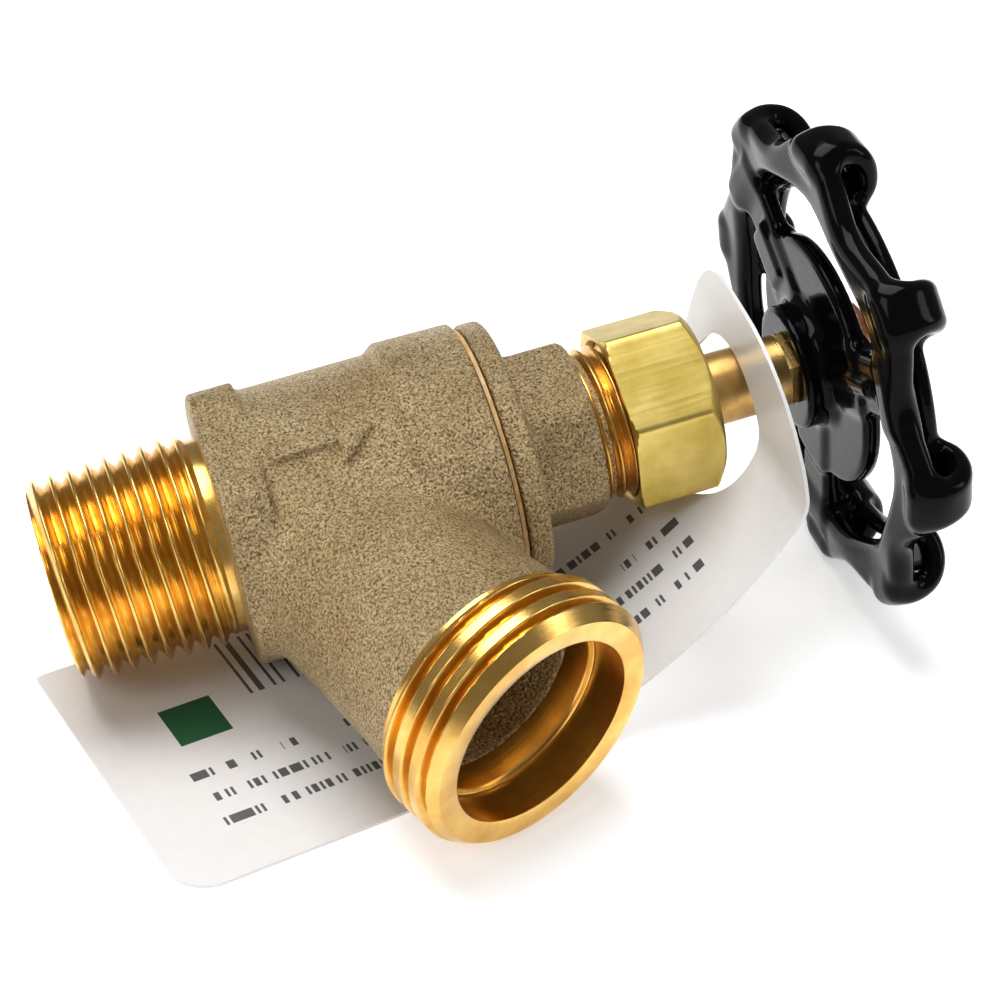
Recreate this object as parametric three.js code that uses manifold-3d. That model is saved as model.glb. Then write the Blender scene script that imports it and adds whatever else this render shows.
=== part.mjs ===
// A no-kink hose bib: a straight brass valve body with a pipe-thread inlet, an angled hose outlet,
// a bonnet with a packing nut, a rising screw stem with a swivel washer, a cage-rim handwheel,
// and a card tag hung on the stem. It lies on its side, as it is put down on a bench.
//
// The valve is drawn in its own frame: x runs along the stem axis from the inlet's end face to the
// handwheel, and the outlet leans from +x towards -z. One group then lays it on its side.
import * as THREE from "three";
import { mergeVertices } from "three/addons/utils/BufferGeometryUtils.js";
import Module from "manifold-3d";

const wasm = await Module();
wasm.setup();

// ---------------------------------------------------------------- driving dimensions, millimetres
const GAP = 0.15; // clearance between two fitted pieces
const RUN = 0.08; // running clearance round a turning piece
const CLEAR = 1; // overshoot of a cutting solid past the face it cuts
const ROUND = 36; // sides of a turned form
const FINE = 40; // sides of the small turned forms

// How the valve lies
const TILT = 10.56; // degrees the stem axis rises towards the handwheel
const ROLL = 81.01; // degrees the valve is rolled onto its side
const REST_HEIGHT = 11.5; // height of the inlet's end centre above the bench

// Inlet: 1/2 inch tapered pipe thread, hexagon collar
const INLET_BORE_R = 6.9;
const INLET_END_R = 9.45;
const INLET_PITCH = 25.4 / 14; // 14 threads per inch
const INLET_TAPER = 1 / 32; // radius gained per mm on a 1 in 16 taper
const INLET_CREST_R = 10.33; // crest radius carried back to the end face
const INLET_FIRST_CREST = 1.28;
const INLET_CRESTS = 8;
const INLET_THREAD_DEPTH = 1.35;
const INLET_NECK_START = 15;
const INLET_NECK_R = 9.9;
const COLLAR_START = 17.3;
const COLLAR_END = 22;
const COLLAR_FLATS = 26.5; // wrench size
const COLLAR_CORNER_R = 14.6;
const COLLAR_ANGLE = 4; // degrees its first flat is turned from +y towards +z

// Barrel and the chamber inside it
const BARREL_R = 13.2;
const BARREL_END = 35.7;
const BOSS_START = 36.8;
const BOSS_R = 14;
const BODY_TOP = 44.4;
const BODY_TOP_R = 13.8;
const CHAMBER_R = 10.6;
const CHAMBER_FLOOR = 19.4;
const BONNET_BORE_R = 11.5;
const BONNET_BORE_START = 36;
const SEAT_PORT_R = 5.2;
const SEAT_LIP_R = 6.5;
const SEAT_BASE_R = 7;
const SEAT_TOP = 22;
const PORT_START = 17.4;
const PORT_CONE = 1; // length of the cone from the inlet bore down to the port

// Outlet: 3/4 inch hose thread, leaning from the stem axis; distances run along its own axis
const OUTLET_ANGLE = 67.5;
const OUTLET_START = 24.7; // where its axis leaves the stem axis
const OUTLET_LENGTH = 37.7;
const OUTLET_CREST_R = 13.45;
const OUTLET_PITCH = 25.4 / 11.5; // 11 1/2 threads per inch
const OUTLET_THREAD_DEPTH = 1;
const OUTLET_THREADS = 3;
const OUTLET_FIRST_CREST = 1.85; // from the mouth back to the middle of the first crest
const OUTLET_CREST_FLAT = 0.5; // half the crest's width
const OUTLET_ROOT_FLAT = 0.72; // from a crest's edge to the nearer side of the root
const OUTLET_MOUTH_R = 12.2;
const OUTLET_BORE_R = 10.05;
const OUTLET_BORE_DEPTH = 4.5;
const OUTLET_CAST_R = 9.3; // cast passage behind the machined bore
const OUTLET_PASSAGE_R = 8.2; // the same passage where it leaves the chamber
const OUTLET_PASSAGE_START = 1;
const SPOUT_R = 12; // at the thread
const SPOUT_ROOT_R = 11; // where it leaves the barrel
const SPOUT_ROOT = 6;
const SPOUT_WAIST = 17;

// Bonnet
const FLANGE_START = 45.1;
const FLANGE_END = 47.5;
const FLANGE_R = 13.4;
const FLANGE_EDGE = 0.7; // chamfer of its outer edge
const BONNET_SKIRT_R = 11.2;
const BONNET_SKIRT_START = 36.6;
const BONNET_FLATS = 16.7;
const BONNET_HEX_END = 54.8;
const BONNET_HEX_ANGLE = 2.2;
const HEX_CORNER_CUT = 0.8; // turned chamfer on a hexagon's end
const NECK_R = 7.94; // 5/8-18 thread for the packing nut
const NECK_ROOT_R = 7.25;
const NECK_END = 59.5;
const NECK_PITCH = 25.4 / 18;
const NECK_THREADS = 3;
const RECESS_R = 8.7;
const RECESS_END = 42.9;
const STEM_NUT_R = 5.1; // bore that carries the stem's thread
const STEM_NUT_END = 54;

// Packing box, from the bonnet outwards
const BOX_FLOOR = 54.7;
const BOX_R = 5.95;
const PACKING_WASHER_THICK = 0.6;
const PACKING_RING_THICK = 1.4;
const PACKING_GAP = 0.12;
const GLAND_SHOULDER = 61.9;
const GLAND_SHOULDER_R = 7.4;
const GLAND_END = 63.6;
const PACKING_NUT_START = 58;
const PACKING_NUT_END = 67.3;
const PACKING_NUT_FLATS = 17.46; // 11/16 inch
const PACKING_NUT_ANGLE = 24.7;
const PACKING_NUT_CORNER_CUT = 1.2;
const PACKING_NUT_BORE_END = 63.8;

// Stem
const STEM_R = 3.75;
const STEM_THREAD_R = 4.95;
const STEM_THREAD_START = 36.8;
const STEM_THREAD_END = 46;
const STEM_THREAD_PITCH = 25.4 / 12;
const STEM_THREAD_DEPTH = 0.7;
const STEM_BUTTON_R = 5.5;
const STEM_BUTTON_START = 28;
const STEM_BUTTON_END = 29.8;
const STEM_NECK_R = 4.4;
const STEM_TANG = 5.2; // side of the square that drives the handwheel
const TANG_START = 76.4;
const STEM_END = 82.9;
const STEM_TAP_R = 1.75; // hole for the handwheel's screw

// Swivel washer at the stem's foot
const HOLDER_R = 7.9;
const HOLDER_START = 23.4;
const HOLDER_END = 33.6;
const HOLDER_EDGE = 0.4;
const HOLDER_THREAD_R = 6.5;
const HOLDER_TAP_R = 1.8;
const LOCK_NUT_R = 8;
const LOCK_NUT_FLATS = 13.6;
const LOCK_NUT_END = 35.2;
const WASHER_R = 6.9;
const WASHER_HOLE_R = 1.9;
const WASHER_EDGE = 0.3;
const WASHER_START = 22.1;
const WASHER_END = 25.3;
const SEAT_SCREW_R = 1.65;
const SEAT_SCREW_HEAD_R = 3.4;
const SEAT_SCREW_HEAD_START = 20.3;
const SEAT_SCREW_HEAD_EDGE = 0.7;
const SEAT_SCREW_END = 27.4;
const SCREW_SLOT = 0.8; // width of a screwdriver slot
const SCREW_SLOT_DEPTH = 0.6;

// Handwheel; stations are along the stem axis
const WHEEL_LOBES = 8;
const WHEEL_PHASE = -7; // degrees from the valve's +y to the first lobe
const STRIP_BACK = 79.2; // valve-side face of the rim strip
const STRIP_FRONT = 82.3;
const STRIP_INNER_R = 19.3;
const STRIP_MEAN_R = 25.05; // outer edge, between its swells at the lobes
const STRIP_SWELL = 1.65;
const STRIP_ROUND = 0.8; // chamfer of its edges
const INNER_RING_R = 19.5;
const INNER_RING_STATION = 84.3;
const INNER_RING_HALF = 0.95; // half the side of its section
const LOBE_FRONT = 87.2;
const LOBE_BAR_WIDTH = 4.8;
const LOBE_BAR_THICK = 2.3;
const WEB_R = 13.2;
const WEB_BACK = 80;
const WEB_FRONT = 82;
const SPOKES = 3;
const SPOKE_WIDTH = 6.3;
const SPOKE_PHASE = -3;
const HUB_R = 6.6;
const HUB_START = 76.9;
const HUB_NOSE_R = 4.8; // short boss under the screw's head
const HUB_END = 83.2;
const PAD_RAISE = 0.9; // raised pad and rib on two of the spokes
const PAD_INNER_R = 9;
const PAD_OUTER_R = 15.5;
const PAD_WIDTH = 4.2;
const RIB_INNER_R = 6;
const RIB_OUTER_R = 17;
const RIB_WIDTH = 1.6;
const WHEEL_SCREW_R = 1.55;
const WHEEL_SCREW_START = 77.2;
const WHEEL_SCREW_HEAD_R = 5.2;
const WHEEL_SCREW_HEAD_SIDE = 1.3;
const WHEEL_SCREW_HEAD_TOP_R = 3.4;
const WHEEL_SCREW_HEAD_RISE = 2.4;

// Card tag, in the lying frame before the origin is set
const TAG_THICK = 0.35;
const TAG_LENGTH = 91.2;
const TAG_WIDTH = 34.5;
const TAG_END_X = 1.83; // middle of its free end
const TAG_END_Y = -17.31;
const TAG_HEADING = 14.7; // degrees from +x at its free end
const TAG_HEADING_HOLE = -2.6; // degrees from +x at its hole end
const TAG_FLAT = 27.9; // length that lies flat on the bench
const TAG_BEND = 0.0203; // radians of lift per mm beyond that
const TAG_CURL = 76.4; // where it curls up harder
const TAG_CURL_BEND = 0.2;
const TAG_LIP = 79.4; // where its end curls back
const TAG_LIP_BEND = -0.204;
const TAG_HOLE_AT = 72.9;
const TAG_HOLE_SIDE = 4.0;
const TAG_HOLE_R = 10.2;
const TAG_CORNER_R = 4;
const TAG_SHARP_R = 0.6;
const TAG_HOLE_CORNER_R = 15;

const rad = THREE.MathUtils.degToRad;

// ---------------------------------------------------------------- solids from three.js geometry
// A closed geometry as a manifold solid, facing out.
function solid(geometry) {
  const bare = geometry.clone();
  bare.deleteAttribute("normal");
  bare.deleteAttribute("uv");
  const merged = mergeVertices(bare, 1e-4);
  const triVerts = new Uint32Array(merged.index.array);
  const vertProperties = new Float32Array(merged.attributes.position.array);
  const made = new wasm.Manifold(new wasm.Mesh({ numProp: 3, vertProperties, triVerts }));
  if (made.volume() >= 0) return made;
  for (let i = 0; i < triVerts.length; i += 3) {
    [triVerts[i + 1], triVerts[i + 2]] = [triVerts[i + 2], triVerts[i + 1]];
  }
  return new wasm.Manifold(new wasm.Mesh({ numProp: 3, vertProperties, triVerts }));
}

// A manifold solid as a flat-shaded BufferGeometry.
function geometryOf(made) {
  const mesh = made.getMesh();
  const geometry = new THREE.BufferGeometry();
  geometry.setAttribute("position", new THREE.BufferAttribute(new Float32Array(mesh.vertProperties), 3));
  geometry.setIndex(new THREE.BufferAttribute(new Uint32Array(mesh.triVerts), 1));
  geometry.computeVertexNormals();
  return geometry;
}

// A solid turned about the x axis from a closed outline of [station, radius] points.
function turned(outline, segments = ROUND) {
  const points = outline.map(([station, radius]) => new THREE.Vector2(radius, station));
  const closed = outline[0][1] === 0 ? points : [...points, points[0]];
  const geometry = new THREE.LatheGeometry(closed, segments);
  geometry.rotateZ(-Math.PI / 2);
  return solid(geometry);
}

// A plain round bar along x.
function rod(start, end, radius, segments = ROUND) {
  return turned([[start, 0], [start, radius], [end, radius], [end, 0]], segments);
}

// A ring of rectangular section round the x axis.
function ring(start, end, inner, outer, segments = ROUND) {
  return turned([[start, inner], [start, outer], [end, outer], [end, inner]], segments);
}

// A hexagonal bar along x; the normal of one flat is turned by the angle from +y towards +z.
function hexBar(flats, start, end, angle) {
  const corner = flats / Math.sqrt(3);
  const geometry = new THREE.CylinderGeometry(corner, corner, end - start, 6);
  geometry.rotateZ(-Math.PI / 2);
  geometry.translate((start + end) / 2, 0, 0);
  geometry.rotateX(rad(angle));
  return solid(geometry);
}

// A box given by its two corners.
function block(low, high) {
  const size = high.map((value, i) => value - low[i]);
  const geometry = new THREE.BoxGeometry(...size);
  geometry.translate(...low.map((value, i) => value + size[i] / 2));
  return solid(geometry);
}

function union(parts) {
  return parts.reduce((whole, part) => whole.add(part));
}

// Crest and root points of a ridge thread, as a zigzag of [station, radius].
function ridges(first, pitch, count, crestAt, depth) {
  const points = [];
  for (let i = 0; i < count; i++) {
    const station = first + i * pitch;
    points.push([station, crestAt(station)]);
    if (i < count - 1) points.push([station + pitch / 2, crestAt(station) - depth]);
  }
  return points;
}

// ---------------------------------------------------------------- body
// Outline of the passage through the body, from the inlet to the bonnet's bore, with the valve seat.
function passage() {
  return [
    [PORT_START - PORT_CONE, INLET_BORE_R],
    [PORT_START, SEAT_PORT_R],
    [SEAT_TOP, SEAT_PORT_R],
    [SEAT_TOP, SEAT_LIP_R],
    [CHAMBER_FLOOR, SEAT_BASE_R],
    [CHAMBER_FLOOR, CHAMBER_R],
    [BONNET_BORE_START, CHAMBER_R],
    [BONNET_BORE_START, BONNET_BORE_R],
  ];
}

function inletAndBarrel() {
  const crestAt = (station) => INLET_CREST_R + station * INLET_TAPER;
  return turned([
    [0, INLET_BORE_R],
    [0, INLET_END_R],
    ...ridges(INLET_FIRST_CREST, INLET_PITCH, INLET_CRESTS, crestAt, INLET_THREAD_DEPTH),
    [INLET_NECK_START, INLET_NECK_R],
    [COLLAR_START + GAP, INLET_NECK_R],
    [COLLAR_START + GAP, BARREL_R],
    [BARREL_END, BARREL_R],
    [BOSS_START, BOSS_R],
    [BODY_TOP, BODY_TOP_R],
    [BODY_TOP, BONNET_BORE_R],
    ...passage().reverse(),
  ]);
}

// Outer form of the spout, turned about its own axis from inside the barrel to the mouth.
function spout() {
  const threads = [];
  for (let i = 0; i < OUTLET_THREADS; i++) {
    const crest = OUTLET_LENGTH - OUTLET_FIRST_CREST - i * OUTLET_PITCH;
    threads.unshift([crest + OUTLET_CREST_FLAT, OUTLET_CREST_R]);
    threads.unshift([crest - OUTLET_CREST_FLAT, OUTLET_CREST_R]);
    threads.unshift([crest - OUTLET_CREST_FLAT - OUTLET_ROOT_FLAT, OUTLET_CREST_R - OUTLET_THREAD_DEPTH]);
  }
  threads[0] = [threads[0][0], SPOUT_R];
  return turned([
    [SPOUT_ROOT, 0],
    [SPOUT_ROOT, SPOUT_ROOT_R],
    [SPOUT_WAIST, SPOUT_ROOT_R],
    [threads[0][0] - OUTLET_PITCH, SPOUT_R],
    ...threads,
    [OUTLET_LENGTH, OUTLET_MOUTH_R],
    [OUTLET_LENGTH, 0],
  ]);
}

function spoutBore() {
  const ledge = OUTLET_LENGTH - OUTLET_BORE_DEPTH;
  return turned([
    [OUTLET_PASSAGE_START, 0],
    [OUTLET_PASSAGE_START, OUTLET_PASSAGE_R],
    [ledge, OUTLET_CAST_R],
    [ledge, OUTLET_BORE_R],
    [OUTLET_LENGTH + CLEAR, OUTLET_BORE_R],
    [OUTLET_LENGTH + CLEAR, 0],
  ]);
}

// Moves a solid that was turned about x onto the outlet's axis.
function ontoOutlet(made) {
  return made.rotate([0, OUTLET_ANGLE, 0]).translate([OUTLET_START, 0, 0]);
}

function body() {
  const inside = turned([
    [-CLEAR, 0],
    [-CLEAR, INLET_BORE_R],
    ...passage(),
    [BODY_TOP + CLEAR, BONNET_BORE_R],
    [BODY_TOP + CLEAR, 0],
  ]);
  const collar = hexBar(COLLAR_FLATS, COLLAR_START, COLLAR_END, COLLAR_ANGLE)
    .intersect(rod(COLLAR_START - CLEAR, COLLAR_END + CLEAR, COLLAR_CORNER_R))
    .subtract(inside);
  const seat = turned([
    [PORT_START, SEAT_PORT_R],
    [PORT_START, SEAT_BASE_R],
    [CHAMBER_FLOOR, SEAT_BASE_R],
    [SEAT_TOP, SEAT_LIP_R],
    [SEAT_TOP, SEAT_PORT_R],
  ]);
  return inletAndBarrel()
    .add(collar)
    .add(ontoOutlet(spout()).subtract(inside))
    .subtract(ontoOutlet(spoutBore()))
    .add(seat);
}

// ---------------------------------------------------------------- bonnet and its packing
function bonnetGasket() {
  const outer = FLANGE_R - 2 * GAP;
  return ring(BODY_TOP + GAP, FLANGE_START - GAP, BONNET_BORE_R - GAP, outer);
}

function bonnet() {
  const depth = NECK_R - NECK_ROOT_R;
  const outside = turned([
    [BONNET_SKIRT_START, 0],
    [BONNET_SKIRT_START, BONNET_SKIRT_R],
    [FLANGE_START, BONNET_SKIRT_R],
    [FLANGE_START, FLANGE_R],
    [FLANGE_END - FLANGE_EDGE, FLANGE_R],
    [FLANGE_END, FLANGE_R - FLANGE_EDGE],
    [FLANGE_END, NECK_ROOT_R],
    ...ridges(BONNET_HEX_END + NECK_PITCH / 2, NECK_PITCH, NECK_THREADS, () => NECK_R, depth),
    [NECK_END, NECK_ROOT_R],
    [NECK_END, 0],
  ]);
  const cornerR = BONNET_FLATS / Math.sqrt(3);
  const hexagon = hexBar(BONNET_FLATS, FLANGE_END - FLANGE_EDGE, BONNET_HEX_END, BONNET_HEX_ANGLE)
    .intersect(turned([
      [FLANGE_END - CLEAR, 0],
      [FLANGE_END - CLEAR, cornerR + CLEAR],
      [BONNET_HEX_END - HEX_CORNER_CUT, cornerR],
      [BONNET_HEX_END, cornerR - HEX_CORNER_CUT],
      [BONNET_HEX_END, 0],
    ]));
  const inside = turned([
    [BONNET_SKIRT_START - CLEAR, 0],
    [BONNET_SKIRT_START - CLEAR, RECESS_R],
    [RECESS_END, RECESS_R],
    [RECESS_END, STEM_NUT_R],
    [STEM_NUT_END, STEM_NUT_R],
    [STEM_NUT_END, STEM_R + GAP],
    [BOX_FLOOR, STEM_R + GAP],
    [BOX_FLOOR, BOX_R],
    [NECK_END + CLEAR, BOX_R],
    [NECK_END + CLEAR, 0],
  ]);
  return outside.add(hexagon).subtract(inside);
}

// The four pieces stacked in the packing box; each starts one small gap above the last.
const PACKING_WASHER_START = BOX_FLOOR + PACKING_GAP;
const RING_LOWER_START = PACKING_WASHER_START + PACKING_WASHER_THICK + PACKING_GAP;
const RING_UPPER_START = RING_LOWER_START + PACKING_RING_THICK + PACKING_GAP;
const GLAND_START = RING_UPPER_START + PACKING_RING_THICK + PACKING_GAP;

// A ring that fills the packing box round the stem.
function boxRing(start, thick) {
  return ring(start, start + thick, STEM_R + RUN, BOX_R - PACKING_GAP, FINE);
}

function packingGland() {
  return boxRing(GLAND_START, GLAND_SHOULDER - GLAND_START + RUN)
    .add(ring(GLAND_SHOULDER, GLAND_END, STEM_R + RUN, GLAND_SHOULDER_R, FINE));
}

function packingNut() {
  const cornerR = PACKING_NUT_FLATS / Math.sqrt(3);
  return hexBar(PACKING_NUT_FLATS, PACKING_NUT_START, PACKING_NUT_END, PACKING_NUT_ANGLE)
    .intersect(turned([
      [PACKING_NUT_START, 0],
      [PACKING_NUT_START, cornerR],
      [PACKING_NUT_END - PACKING_NUT_CORNER_CUT, cornerR],
      [PACKING_NUT_END, cornerR - PACKING_NUT_CORNER_CUT],
      [PACKING_NUT_END, 0],
    ]))
    .subtract(turned([
      [PACKING_NUT_START - CLEAR, 0],
      [PACKING_NUT_START - CLEAR, NECK_R + GAP],
      [PACKING_NUT_BORE_END, NECK_R + GAP],
      [PACKING_NUT_BORE_END, STEM_R + GAP],
      [PACKING_NUT_END + CLEAR, STEM_R + GAP],
      [PACKING_NUT_END + CLEAR, 0],
    ]));
}

// ---------------------------------------------------------------- stem and washer
function stem() {
  const count = Math.floor((STEM_THREAD_END - STEM_THREAD_START) / STEM_THREAD_PITCH);
  const first = STEM_THREAD_START + STEM_THREAD_PITCH / 4;
  const round = turned([
    [STEM_BUTTON_START, 0],
    [STEM_BUTTON_START, STEM_BUTTON_R],
    [STEM_BUTTON_END, STEM_BUTTON_R],
    [STEM_BUTTON_END, STEM_NECK_R],
    [STEM_THREAD_START, STEM_NECK_R],
    ...ridges(first, STEM_THREAD_PITCH, count, () => STEM_THREAD_R, STEM_THREAD_DEPTH),
    [STEM_THREAD_END, STEM_NECK_R],
    [STEM_THREAD_END + STEM_NECK_R - STEM_R, STEM_R],
    [STEM_END, STEM_R],
    [STEM_END, 0],
  ], FINE);
  const half = STEM_TANG / 2;
  const wide = 2 * STEM_BUTTON_R;
  const tang = block([TANG_START, -half, -half], [STEM_END + CLEAR, half, half]);
  const shaft = block([STEM_BUTTON_START - CLEAR, -wide, -wide], [TANG_START, wide, wide]);
  const tap = rod(TANG_START, STEM_END + CLEAR, STEM_TAP_R, FINE);
  return round.intersect(tang.add(shaft)).subtract(tap);
}

function discHolder() {
  const pocketR = WASHER_R + GAP;
  return turned([
    [HOLDER_START, pocketR],
    [HOLDER_START, HOLDER_R - HOLDER_EDGE],
    [HOLDER_START + HOLDER_EDGE, HOLDER_R],
    [HOLDER_END, HOLDER_R],
    [HOLDER_END, HOLDER_THREAD_R],
    [STEM_BUTTON_START - GAP, HOLDER_THREAD_R],
    [STEM_BUTTON_START - GAP, HOLDER_TAP_R],
    [WASHER_END + GAP, HOLDER_TAP_R],
    [WASHER_END + GAP, pocketR],
  ], FINE);
}

// Threaded ring with a hexagon rim that keeps the stem's button in the holder.
function discLockNut() {
  const inner = STEM_THREAD_R + GAP;
  const rimStart = HOLDER_END + GAP;
  const threaded = ring(STEM_BUTTON_END + GAP, rimStart, inner, HOLDER_THREAD_R - GAP, FINE);
  const rim = hexBar(LOCK_NUT_FLATS, rimStart, LOCK_NUT_END, 0)
    .intersect(ring(rimStart, LOCK_NUT_END, inner, LOCK_NUT_R, FINE));
  return threaded.add(rim);
}

function seatWasher() {
  return turned([
    [WASHER_START, WASHER_HOLE_R],
    [WASHER_START, WASHER_R - WASHER_EDGE],
    [WASHER_START + WASHER_EDGE, WASHER_R],
    [WASHER_END, WASHER_R],
    [WASHER_END, WASHER_HOLE_R],
  ], FINE);
}

function seatWasherScrew() {
  const head = turned([
    [SEAT_SCREW_HEAD_START, 0],
    [SEAT_SCREW_HEAD_START, SEAT_SCREW_HEAD_R - SEAT_SCREW_HEAD_EDGE],
    [SEAT_SCREW_HEAD_START + SEAT_SCREW_HEAD_EDGE, SEAT_SCREW_HEAD_R],
    [WASHER_START - GAP, SEAT_SCREW_HEAD_R],
    [WASHER_START - GAP, SEAT_SCREW_R],
    [SEAT_SCREW_END, SEAT_SCREW_R],
    [SEAT_SCREW_END, 0],
  ], FINE);
  const slotEnd = SEAT_SCREW_HEAD_START + SCREW_SLOT_DEPTH;
  return head.subtract(block(
    [SEAT_SCREW_HEAD_START - CLEAR, -SCREW_SLOT / 2, -SEAT_SCREW_HEAD_R - CLEAR],
    [slotEnd, SCREW_SLOT / 2, SEAT_SCREW_HEAD_R + CLEAR]));
}

// ---------------------------------------------------------------- handwheel
// The rim's strip on the valve side; its outer edge swells at each lobe.
function rimStrip() {
  const steps = 6 * WHEEL_LOBES;
  const outline = new THREE.Shape();
  const opening = new THREE.Path();
  for (let i = 0; i < steps; i++) {
    const angle = (2 * Math.PI * i) / steps;
    const outer = STRIP_MEAN_R + STRIP_SWELL * Math.cos(WHEEL_LOBES * (angle - rad(WHEEL_PHASE)));
    const draw = i ? "lineTo" : "moveTo";
    outline[draw](outer * Math.cos(angle), outer * Math.sin(angle));
    if (i % 2) continue;
    opening[draw](STRIP_INNER_R * Math.cos(angle), STRIP_INNER_R * Math.sin(angle));
  }
  outline.holes.push(opening);
  const geometry = new THREE.ExtrudeGeometry(outline, {
    depth: STRIP_FRONT - STRIP_BACK - 2 * STRIP_ROUND,
    bevelThickness: STRIP_ROUND, bevelSize: STRIP_ROUND, bevelOffset: -STRIP_ROUND, bevelSegments: 1,
  });
  // The extrusion runs along z, so it is turned onto the stem axis with its own x on the valve's y.
  geometry.applyMatrix4(new THREE.Matrix4().makeBasis(
    new THREE.Vector3(0, 1, 0), new THREE.Vector3(0, 0, 1), new THREE.Vector3(1, 0, 0)));
  geometry.translate(STRIP_BACK + STRIP_ROUND, 0, 0);
  return solid(geometry);
}

// Middle line of a lobe's bar, as [station, radius]: up from the strip, over and down to the ring.
function lobeLine() {
  const half = LOBE_BAR_THICK / 2;
  const root = STRIP_MEAN_R + STRIP_SWELL - half;
  const front = LOBE_FRONT - half;
  return new THREE.SplineCurve([
    new THREE.Vector2((STRIP_BACK + STRIP_FRONT) / 2, root),
    new THREE.Vector2(STRIP_FRONT + half / 2, root),
    new THREE.Vector2(INNER_RING_STATION + half / 2, root - half),
    new THREE.Vector2(front, (root + INNER_RING_R) / 2),
    new THREE.Vector2(INNER_RING_STATION + half, INNER_RING_R + half / 2),
    new THREE.Vector2(INNER_RING_STATION, INNER_RING_R),
  ]);
}

function lobeBar(angle) {
  const middle = lobeLine().getPoints(10);
  const sides = [1, -1].map((side) => middle.map((point, i) => {
    const before = middle[Math.max(i - 1, 0)];
    const after = middle[Math.min(i + 1, middle.length - 1)];
    const along = after.clone().sub(before).normalize();
    const offset = (side * LOBE_BAR_THICK) / 2;
    return new THREE.Vector2(point.x - along.y * offset, point.y + along.x * offset);
  }));
  const bar = new THREE.Shape([...sides[0], ...sides[1].reverse()]);
  const geometry = new THREE.ExtrudeGeometry(bar, { depth: LOBE_BAR_WIDTH, bevelEnabled: false });
  geometry.translate(0, 0, -LOBE_BAR_WIDTH / 2);
  geometry.rotateX(angle);
  return solid(geometry);
}

// A straight bar along a radius of the wheel.
function radialBar(back, front, innerR, outerR, width, angle) {
  const geometry = new THREE.BoxGeometry(front - back, outerR - innerR, width);
  geometry.translate((back + front) / 2, (innerR + outerR) / 2, 0);
  geometry.rotateX(angle);
  return solid(geometry);
}

function handwheel() {
  const parts = [
    rimStrip(),
    ring(INNER_RING_STATION - INNER_RING_HALF, INNER_RING_STATION + INNER_RING_HALF,
      INNER_RING_R - INNER_RING_HALF, INNER_RING_R + INNER_RING_HALF),
    rod(WEB_BACK, WEB_FRONT, WEB_R),
    rod(HUB_START, WEB_FRONT, HUB_R),
    rod(WEB_BACK, HUB_END, HUB_NOSE_R),
  ];
  const spokeAngles = Array.from({ length: SPOKES }, (_, i) => rad(SPOKE_PHASE + (360 * i) / SPOKES));
  for (let i = 0; i < WHEEL_LOBES; i++) parts.push(lobeBar(rad(WHEEL_PHASE + (360 * i) / WHEEL_LOBES)));
  for (const angle of spokeAngles) {
    parts.push(radialBar(WEB_BACK, WEB_FRONT, HUB_R, STRIP_INNER_R + CLEAR, SPOKE_WIDTH, angle));
  }
  const raised = WEB_BACK - PAD_RAISE;
  parts.push(radialBar(raised, WEB_FRONT, PAD_INNER_R, PAD_OUTER_R, PAD_WIDTH, spokeAngles[1]));
  parts.push(radialBar(raised, WEB_FRONT, RIB_INNER_R, RIB_OUTER_R, RIB_WIDTH, spokeAngles[2]));
  const half = STEM_TANG / 2 + RUN;
  return union(parts).subtract(block([HUB_START - CLEAR, -half, -half], [HUB_END + CLEAR, half, half]));
}

function handwheelScrew() {
  const seat = HUB_END + GAP;
  const top = seat + WHEEL_SCREW_HEAD_RISE;
  const head = turned([
    [WHEEL_SCREW_START, 0],
    [WHEEL_SCREW_START, WHEEL_SCREW_R],
    [seat, WHEEL_SCREW_R],
    [seat, WHEEL_SCREW_HEAD_R],
    [seat + WHEEL_SCREW_HEAD_SIDE, WHEEL_SCREW_HEAD_R],
    [top, WHEEL_SCREW_HEAD_TOP_R],
    [top, 0],
  ], FINE);
  return head.subtract(block(
    [top - SCREW_SLOT_DEPTH, -SCREW_SLOT / 2, -WHEEL_SCREW_HEAD_R],
    [top + CLEAR, SCREW_SLOT / 2, WHEEL_SCREW_HEAD_R]));
}

// ---------------------------------------------------------------- card tag
// Directions of the tag at a distance along it: it lies flat, then lifts while its heading turns.
function tagDirections(at) {
  const lift = TAG_BEND * Math.max(at - TAG_FLAT, 0)
    + TAG_CURL_BEND * Math.max(at - TAG_CURL, 0)
    + TAG_LIP_BEND * Math.max(at - TAG_LIP, 0);
  const turn = THREE.MathUtils.smoothstep(at, TAG_FLAT, TAG_LENGTH);
  const heading = rad(TAG_HEADING + (TAG_HEADING_HOLE - TAG_HEADING) * turn);
  const along = new THREE.Vector3(
    Math.cos(heading) * Math.cos(lift), Math.sin(heading) * Math.cos(lift), Math.sin(lift));
  const across = new THREE.Vector3(-Math.sin(heading), Math.cos(heading), 0);
  return { along, across, normal: along.clone().cross(across) };
}

// A point of the tag: distance along it, distance to its left, and height in its thickness.
function onTag(at, side, height) {
  const steps = Math.max(Math.ceil(2 * at), 1);
  const place = new THREE.Vector3(TAG_END_X, TAG_END_Y, TAG_THICK / 2);
  for (let i = 0; i < steps; i++) {
    place.addScaledVector(tagDirections(((i + 0.5) * at) / steps).along, at / steps);
  }
  const { across, normal } = tagDirections(at);
  return place.addScaledVector(across, side).addScaledVector(normal, height);
}

// Half width of the tag at a distance from one of its ends, drawn in where that corner is rounded.
function tagHalfWidth(corner, distance) {
  const inward = Math.max(corner - distance, 0);
  return TAG_WIDTH / 2 - (corner - Math.sqrt(Math.max(corner * corner - inward * inward, 0)));
}

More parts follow.
